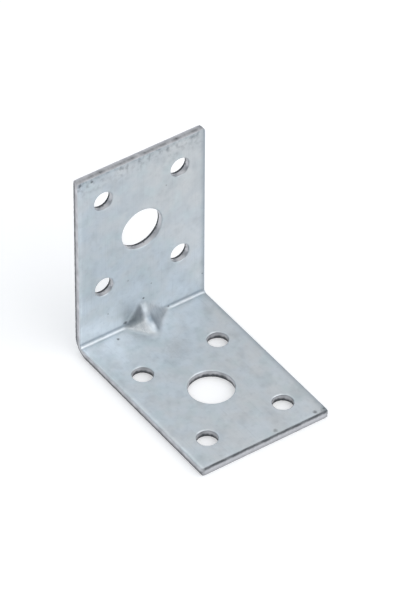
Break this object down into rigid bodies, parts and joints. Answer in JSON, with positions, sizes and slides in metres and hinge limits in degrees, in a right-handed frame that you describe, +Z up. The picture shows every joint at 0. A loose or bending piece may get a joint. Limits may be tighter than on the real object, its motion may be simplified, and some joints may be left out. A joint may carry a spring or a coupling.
{
  "type": "corner brace bracket",
  "caption": "Right-angle bracket folded from galvanised sheet steel, with bolt and nail holes in both legs and a stiffening rib pressed into the bend.",
  "frame": {"origin": "middle of the base leg's underside, between the heel and the leg's end", "axes": "+Z up along the upright leg, +X along the base leg from the heel to its end, Y across the strip"},
  "size_m": [0.0516, 0.035, 0.0515],
  "materials": {
    "galvanised_steel": "galvanised"
  },
  "bodies": {
    "root": {"corner_bracket": "galvanised_steel"}
  },
  "joints": []
}
